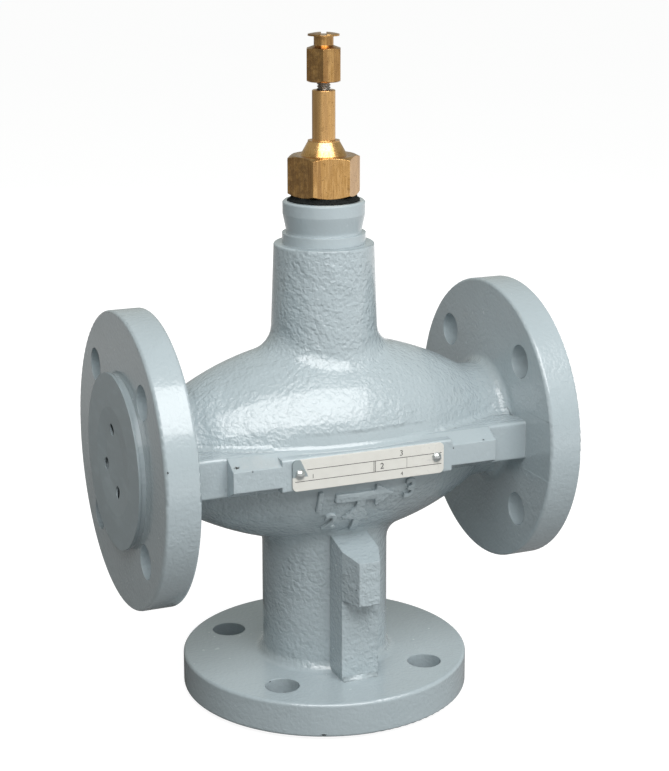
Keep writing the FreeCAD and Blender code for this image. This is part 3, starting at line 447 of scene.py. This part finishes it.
def bridge(shape, rings):
    """Faces from each ring to the next one."""
    for near, far in zip(rings, rings[1:]):
        for step in range(len(near)):
            following = (step + 1) % len(near)
            shape.faces.new((near[step], near[following], far[following], far[step]))


def capped(shape, rings):
    """Faces between the rings, and over both ends."""
    bridge(shape, rings)
    shape.faces.new(reversed(rings[0]))
    shape.faces.new(rings[-1])


FIGURE_SHARE = 0.7                       # height of a numeral, as a share of its font's size


def figure_mesh(name, figure, height, thickness, **settings):
    """Solid numeral, lying flat, its height in millimetres."""
    text = bpy.data.curves.new(name, "FONT")
    text.body = figure
    text.size = height * MM / FIGURE_SHARE
    text.extrude = thickness / 2
    for setting, amount in settings.items():
        setattr(text, setting, amount)
    return taken(placed(name + "_text", text))


def stood_up(mesh, place):
    """Turn a flat mesh to face the front, and move it to its place."""
    mesh.transform(Matrix.Translation(place) @ Matrix.Rotation(math.pi / 2, 4, "X"))
    return mesh


# Stem: a thread from just inside the guide tube up to its end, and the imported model's rod below
THREAD_PITCH = 1.0 * MM
THREAD_DEPTH = 0.55 * MM
THREAD_BASE = HOUSING_TOP - 1.2 * MM
THREAD_RADIUS = 2.8 * MM
THREAD_STEPS = 48
ROWS_PER_TURN = 12
FLANK, ROOT_FLAT = 1.25, 0.12            # steepness of the flanks, and how far they run into the root


def thread_radius(height, turn):
    """Radius of the thread at a height and a turn, its crests and roots slightly flat."""
    share = (height / THREAD_PITCH - turn / (2 * math.pi)) % 1
    slope = min(max(FLANK * (1 - abs(2 * share - 1)) - ROOT_FLAT, 0), 1)
    run_out = min(max((height - THREAD_BASE) / THREAD_PITCH, 0), 1)
    return THREAD_RADIUS - THREAD_DEPTH * (1 - slope) * run_out


def threaded_stem():
    """Stem with its thread cut, replacing the plain one."""
    length = STEM_TOP - THREAD_BASE
    count = round(length / THREAD_PITCH * ROWS_PER_TURN)
    heights = [THREAD_BASE + length * row / count for row in range(count + 1)]
    rows = [(height, lambda turn, height=height: thread_radius(height, turn)) for height in heights]
    thread = bmesh.new()
    capped(thread, round_rings(thread, rows, THREAD_STEPS))
    shape = bmesh.new()
    shape.from_mesh(frame["nodes"]["valve_stem"].data)
    everything = shape.verts[:] + shape.edges[:] + shape.faces[:]
    cut = bmesh.ops.bisect_plane(shape, geom=everything, plane_co=(0, 0, THREAD_BASE),
                                 plane_no=(0, 0, 1), clear_outer=True)
    rim = [item for item in cut["geom_cut"] if isinstance(item, bmesh.types.BMEdge)]
    bmesh.ops.holes_fill(shape, edges=rim)
    shape.from_mesh(closed(thread, "thread"))
    made = piece("threaded_stem", closed(shape, "threaded_stem"), STEM, "stem")
    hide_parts("valve_stem")


# Gasket: how its rim wanders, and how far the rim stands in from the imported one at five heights
GASKET_HOLE = 12.05 * MM
GASKET_STEPS = 160
GASKET_SKIN = 0.02 * MM
WANDER = (7, 0.55 * MM), (19, 0.35 * MM)
RIM_IN_LOW, RIM_IN_BELOW, RIM_IN_HIGH = 0.1 * MM, 0.3 * MM, 1.5 * MM
RIM_IN_MIDDLE = 1.3 * MM


def wandering(reach, seed):
    """Radius that wanders about its reach, differently for each seed."""
    def radius(turn):
        along, across = math.cos(turn), math.sin(turn)
        return reach + sum(height * noise.noise(Vector((along * busy + seed, across * busy, seed)))
                           for busy, height in WANDER)
    return radius


def ragged_gasket():
    """Gasket with an uneven, crumbling rim, wider at its foot."""
    outer = GASKET_HIGH.x
    low, high = GASKET_LOW.z + GASKET_SKIN, GASKET_HIGH.z - GASKET_SKIN
    shape = bmesh.new()
    rows = [(low, lambda turn: GASKET_HOLE), (low, wandering(outer - RIM_IN_LOW, 1)),
            (low + 0.5 * MM, wandering(outer - RIM_IN_BELOW, 1.3)),
            ((low + high) / 2, wandering(outer - RIM_IN_MIDDLE, 3)),
            (high - 0.4 * MM, wandering(outer - RIM_IN_HIGH, 4)),
            (high, wandering(outer - RIM_IN_HIGH, 5)), (high, lambda turn: GASKET_HOLE)]
    rings = round_rings(shape, rows, GASKET_STEPS)
    bridge(shape, rings + rings[:1])
    mesh = closed(shape, "ragged_gasket")
    smooth(mesh)
    made = piece("ragged_gasket", mesh, GASKET, "valve")
    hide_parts("bonnet_gasket")


# Rays that find the casting's front, from a place well before it
BEFORE = -0.2
BACKWARDS = Vector((0, 1, 0))

# Cast relief under the boss: a flow arrow with a branch, and plain numerals beside the ports
RELIEF_PROUD = 1.3 * MM
RELIEF_SUNK = 0.5 * MM
RELIEF_THICK = RELIEF_PROUD + RELIEF_SUNK
RELIEF_GRAIN = 0.3 * MM
RELIEF_SMOOTHING = 3
FIGURE_FATTER = 0.4 * MM

# Outlines in millimetres: across from the stem axis, and up from the floor
ARROW = [(-11.8, 93.6), (5.4, 93.6), (6.2, 89.9), (13.8, 95.2), (5.2, 100.0), (5.2, 97.4), (-11.8, 97.4)]
BRANCH = [(-1.6, 78.3), (1.6, 78.3), (1.3, 84.0), (5.4, 83.2), (1.2, 90.2), (1.4, 94.4),
          (-2.4, 94.4), (-2.4, 90.6), (-6.9, 85.2), (-1.9, 84.5)]

# Numerals: name, figure, height, and the middle's place across and up, in millimetres
NUMERALS = [("inlet_numeral", "1", 8.4, -18.0, 94.6), ("lower_numeral", "2", 7.4, -11.6, 84.4),
            ("common_numeral", "3", 8.4, 21.5, 95.6)]


def slab(name, outline):
    """Solid slab from an outline, standing on the plane of the stem axis."""
    shape = bmesh.new()
    face = shape.faces.new([shape.verts.new((across * MM, 0, up * MM)) for across, up in outline])
    pushed = bmesh.ops.extrude_face_region(shape, geom=[face])
    moved = [item for item in pushed["geom"] if isinstance(item, bmesh.types.BMVert)]
    bmesh.ops.translate(shape, verts=moved, vec=(0, -RELIEF_THICK, 0))
    bmesh.ops.recalc_face_normals(shape, faces=shape.faces)
    return closed(shape, name)


def cast_on(name, mesh, surface):
    """Lay a standing slab on the casting, its edges softened, and make it a piece."""
    helper = placed(name + "_flat", mesh)
    remesh = helper.modifiers.new("grain", "REMESH")
    remesh.mode = "VOXEL"
    remesh.voxel_size = RELIEF_GRAIN
    helper.modifiers.new("soft", "SMOOTH").iterations = RELIEF_SMOOTHING
    laid = taken(helper)
    for vertex in laid.vertices:
        start = Vector((vertex.co.x, BEFORE, vertex.co.z))
        place = surface.ray_cast(start, BACKWARDS)[0]
        away = Vector((0, place.y, place.z - AXIS)).normalized()
        vertex.co = place + away * (-vertex.co.y - RELIEF_SUNK)
    smooth(laid)
    piece(name, laid, PAINTED, "valve")


def relief(surface):
    """Arrow from the inlet to the common port, its branch from below, and three numerals."""
    cast_on("flow_arrow", slab("flow_arrow", ARROW), surface)
    cast_on("flow_branch", slab("flow_branch", BRANCH), surface)
    for name, figure, height, across, up in NUMERALS:
        flat = figure_mesh(name, figure, height, RELIEF_THICK, offset=FIGURE_FATTER, align_x="CENTER")
        place = (across * MM, -RELIEF_THICK / 2, (up - height / 2) * MM)
        cast_on(name, stood_up(flat, place), surface)


# Blends of the casting, where its rib and boss run out of the round
BLEND_SUNK = 0.06 * MM
BLEND_ARC = 8                            # steps round each hollow
BLEND_STATIONS = 74                      # to each side of the middle
BLEND_REACH = 73.6 * MM
BLEND_TUCK = 0.3                         # how deep the hidden corner lies, as a share of the hollow's radius
BOSS_HALF, BOSS_REACH = 6.7 * MM, 36.5 * MM
RIB_HALF = 7.9 * MM
MIDDLE_HOLLOW, MIDDLE_REACH = 3.4 * MM, 20 * MM
END_HOLLOW = 4.0 * MM
PROBE = 12.5 * MM                        # height from the port axis where the round is measured


def strip(name, rows):
    """Closed strip of paint through rows of points, one row to each station along it."""
    shape = bmesh.new()
    capped(shape, [[shape.verts.new(point) for point in row] for row in rows])
    bmesh.ops.recalc_face_normals(shape, faces=shape.faces)
    mesh = closed(shape, name)
    smooth(mesh)
    piece(name, mesh, PAINTED, "valve")


def rib_blend(surface, across, side):
    """Section of the blend between the rib's flat and the round, at one place along the ports."""
    start = Vector((across, BEFORE, AXIS + side * PROBE))
    radius = math.hypot(surface.ray_cast(start, BACKWARDS)[0].y, PROBE)
    half = BOSS_HALF if abs(across) < BOSS_REACH else RIB_HALF
    hollow = MIDDLE_HOLLOW if abs(across) < MIDDLE_REACH else END_HOLLOW
    up = half + hollow
    out = math.sqrt((radius + hollow) ** 2 - up ** 2)
    first, last = -math.pi / 2, math.atan2(-up, out)
    turns = [first + (last - first) * step / BLEND_ARC for step in range(BLEND_ARC + 1)]
    section = [(-out + hollow * math.cos(turn), up + hollow * math.sin(turn)) for turn in turns]
    section.append((hollow * BLEND_TUCK - math.sqrt(radius ** 2 - half ** 2), half - BLEND_SUNK))
    return [Vector((across, back + BLEND_SUNK, AXIS + side * (lift - BLEND_SUNK)))
            for back, lift in section]


def rib_blends(surface):
    """Blends above and below the rib, from flange to flange."""
    places = [BLEND_REACH * step / BLEND_STATIONS for step in range(-BLEND_STATIONS, BLEND_STATIONS + 1)]
    for name, side in (("upper_blend", 1), ("lower_blend", -1)):
        strip(name, [rib_blend(surface, across, side) for across in places])


FOOT_HOLLOW = 2.2 * MM
FOOT_FRONT, FOOT_HALF = -37.5 * MM, 7.6 * MM


def foot_section(across):
    """Section of the foot's hollow at one place across it."""
    turns = [math.pi / 2 * step / BLEND_ARC for step in range(BLEND_ARC + 1)]
    rows = [(FOOT_FRONT - FOOT_HOLLOW * (1 - math.sin(turn)),
             LOWER_FLANGE_TOP + FOOT_HOLLOW * (1 - math.cos(turn))) for turn in turns]
    rows.append((FOOT_FRONT, LOWER_FLANGE_TOP))
    return [Vector((across, back + BLEND_SUNK, up - BLEND_SUNK)) for back, up in rows]


def foot_blend():
    """Hollow corner where the upright's front meets the lower flange."""
    strip("foot_blend", [foot_section(-FOOT_HALF), foot_section(FOOT_HALF)])


# Print on the plate: thin rules, and plain numerals in their fields
PRINT_PROUD = 0.03 * MM
RULE = 0.22 * MM
UPPER_RULE, LOWER_RULE = 2.1 * MM, -2.4 * MM     # from the plate's middle
RULE_MARGIN = 1.0 * MM
UPPER_RULE_IN = 5.0 * MM                         # the upper rule begins after the worn wedge

# Upright rules: how far across, and how wide
UPRIGHTS = [(1.9 * MM, RULE), (2.5 * MM, RULE), (16.2 * MM, RULE / 2)]

# Field numerals: name, figure, height, and place across and above the plate's middle, in millimetres
FIELDS = [("field_one", "1", 1.7, -24.6, -1.6), ("field_two", "2", 2.4, 4.6, -1.4),
          ("field_three", "3", 2.2, 13.0, 3.0), ("field_four", "4", 1.5, 13.5, -5.2)]


def bar(shape, low, high):
    """Thin block between two corners, added to a shape."""
    made = bmesh.ops.create_cube(shape, size=1)
    centre = (Vector(low) + Vector(high)) / 2
    size = Vector(high) - Vector(low)
    bmesh.ops.scale(shape, vec=size, verts=made["verts"])
    bmesh.ops.translate(shape, vec=centre, verts=made["verts"])


def plate_print():
    """Rules and field numerals on the plate's face."""
    front, back = PLATE_LOW.y - PRINT_PROUD, PLATE_LOW.y + PRINT_PROUD
    middle = (PLATE_LOW.z + PLATE_HIGH.z) / 2
    upper, lower = middle + UPPER_RULE, middle + LOWER_RULE
    left, right = PLATE_LOW.x + RULE_MARGIN, PLATE_HIGH.x - RULE_MARGIN
    shape = bmesh.new()
    bar(shape, (left + UPPER_RULE_IN, front, upper - RULE / 2), (right, back, upper + RULE / 2))
    bar(shape, (left, front, lower - RULE / 2), (right, back, lower + RULE / 2))
    for across, wide in UPRIGHTS:
        bar(shape, (across - wide / 2, front, lower), (across + wide / 2, back, upper))
    piece("plate_rules", closed(shape, "plate_rules"), INK, "valve")
    for name, figure, height, across, up in FIELDS:
        flat = figure_mesh(name, figure, height, 2 * PRINT_PROUD)
        place = (across * MM, PLATE_LOW.y, middle + up * MM)
        piece(name, stood_up(flat, place), INK, "valve")


threaded_stem()
ragged_gasket()
casting = BVHTree.FromObject(frame["nodes"]["valve_body"], bpy.context.evaluated_depsgraph_get())
relief(casting)
rib_blends(casting)
foot_blend()
plate_print()


# Stage, light and camera, in metres and watts

FLOOR_SIZE = 30
FLOOR_GREYS = rgb(0.27, 0.27, 0.27), rgb(0.29, 0.29, 0.29)
FLOOR_GLOW = rgb(0.92, 0.92, 0.92)
FLOOR_PATCH, FLOOR_ROUGHNESS = 0.4, 0.9

# Painted reflection: the floor glows for gloss rays only, so the brass mirrors it brighter towards the front
# right, with painted shadow dark near the valve
TOWARDS_RIGHT, TOWARDS_FRONT = 0.8, 0.6
MIRROR_FROM, MIRROR_TO = -0.7, 0.0
PAINTED_REFLECTION_LEVELS = (0.22, 0.8)
PAINTED_SHADOW_NEAR, PAINTED_SHADOW_END = 0.25, 0.75

# Studio light: its tint, its level, and what gloss and the camera see on top of it
STUDIO_TINT = rgb(0.94, 1.0, 0.94)
STUDIO_LEVEL, GLOSS_EXTRA, CAMERA_EXTRA = 0.19, 0.25, 0.9

# Softboxes: name, azimuth and elevation in degrees, distance, width, height, watts, seen in gloss
AIM = Vector((0, 0, 0.13))
SOFTBOXES = [("key", -6, 50, 1.0, 1.2, 0.7, 14, True), ("right_fill", 62, 4, 1.2, 0.6, 0.26, 3, False),
             ("low_fill", 12, 3, 0.85, 0.4, 0.2, 0.7, False), ("back_fill", 160, 14, 1.3, 0.9, 0.5, 5, False)]

# The photograph's camera, fitted to the flanges, with its focal length and shift in pixels
CAMERA_AZIMUTH, CAMERA_ELEVATION = -23.0, 13.07
CAMERA_AIM = Vector((4.67, 0, 157.97)) * MM
CAMERA_DISTANCE = 749.17 * MM
FOCAL, SHIFT, LONG_SIDE = 1823.35, -65.5, 771
SENSOR = 36


def direction(azimuth, elevation):
    """Unit vector from the valve, for angles in degrees, with 0 azimuth to the front."""
    turn, rise = math.radians(azimuth), math.radians(elevation)
    return Vector((math.sin(turn) * math.cos(rise), -math.cos(turn) * math.cos(rise), math.sin(rise)))


def stage():
    """Plain pale floor under the lower flange."""
    bpy.ops.mesh.primitive_plane_add(size=FLOOR_SIZE, location=(0, 0, 0))
    floor = bpy.context.object
    floor.name = "floor"
    look = Look("pale_floor")
    path = look.add("ShaderNodeLightPath")
    shade = look.mix(look.grain(FLOOR_PATCH, 1), *FLOOR_GREYS)
    front_right = look.maths("SUBTRACT", look.maths("MULTIPLY", look.x, TOWARDS_RIGHT),
                             look.maths("MULTIPLY", look.y, TOWARDS_FRONT))
    away = look.add("ShaderNodeVectorMath", operation="LENGTH")
    look.join(look.where, away.inputs[0])
    # Painted reflection glow for gloss rays, with painted shadow near the valve
    mirrored = look.between(look.fade(front_right, MIRROR_FROM, MIRROR_TO), *PAINTED_REFLECTION_LEVELS)
    mirrored = look.maths("MULTIPLY", mirrored, look.fade(away.outputs["Value"], PAINTED_SHADOW_NEAR, PAINTED_SHADOW_END))
    glow_and_painted_reflection = look.maths("MULTIPLY_ADD", mirrored, path.outputs["Is Glossy Ray"],
                      path.outputs["Is Camera Ray"])
    look.join(glow_and_painted_reflection, look.surface.inputs["Emission Strength"])
    look.finish(shade, FLOOR_ROUGHNESS, Emission_Color=FLOOR_GLOW, Specular_IOR_Level=0.0)
    floor.data.materials.append(look.material)


def surroundings():
    """White studio round the valve."""
    world = bpy.data.worlds.new("studio")
    bpy.context.scene.world = world
    world.use_nodes = True
    wiring = Wiring(world.node_tree)
    background = world.node_tree.nodes["Background"]
    background.inputs["Color"].default_value = STUDIO_TINT
    path = wiring.add("ShaderNodeLightPath")
    level = wiring.maths("MULTIPLY_ADD", path.outputs["Is Glossy Ray"], GLOSS_EXTRA, STUDIO_LEVEL)
    level = wiring.maths("MULTIPLY_ADD", path.outputs["Is Camera Ray"], CAMERA_EXTRA, level)
    wiring.join(level, background.inputs["Strength"])


def softbox(name, azimuth, elevation, distance, width, height, watts, mirrored):
    """Rectangular light aimed at the middle of the valve, seen in gloss only if mirrored."""
    away = direction(azimuth, elevation)
    data = bpy.data.lights.new(name, "AREA")
    data.shape = "RECTANGLE"
    data.size, data.size_y = width, height
    data.energy = watts
    light = placed(name, data)
    light.location = AIM + away * distance
    light.rotation_euler = (-away).to_track_quat("-Z", "Y").to_euler()
    light.visible_glossy = mirrored


def camera():
    """Camera at the photograph's viewing angle, for a picture of 669 by 771 pixels."""
    back = direction(CAMERA_AZIMUTH, CAMERA_ELEVATION)
    data = bpy.data.cameras.new("camera")
    data.sensor_width = SENSOR
    data.lens = FOCAL / LONG_SIDE * SENSOR
    data.shift_y = SHIFT / LONG_SIDE
    made = placed("camera", data)
    made.location = CAMERA_AIM + back * CAMERA_DISTANCE
    made.rotation_mode = "QUATERNION"
    made.rotation_quaternion = (-back).to_track_quat("-Z", "Y")
    bpy.context.scene.camera = made


stage()
surroundings()
for settings in SOFTBOXES:
    softbox(*settings)
camera()
bpy.context.scene.view_settings.view_transform = "Standard"

bpy.context.view_layer.update()
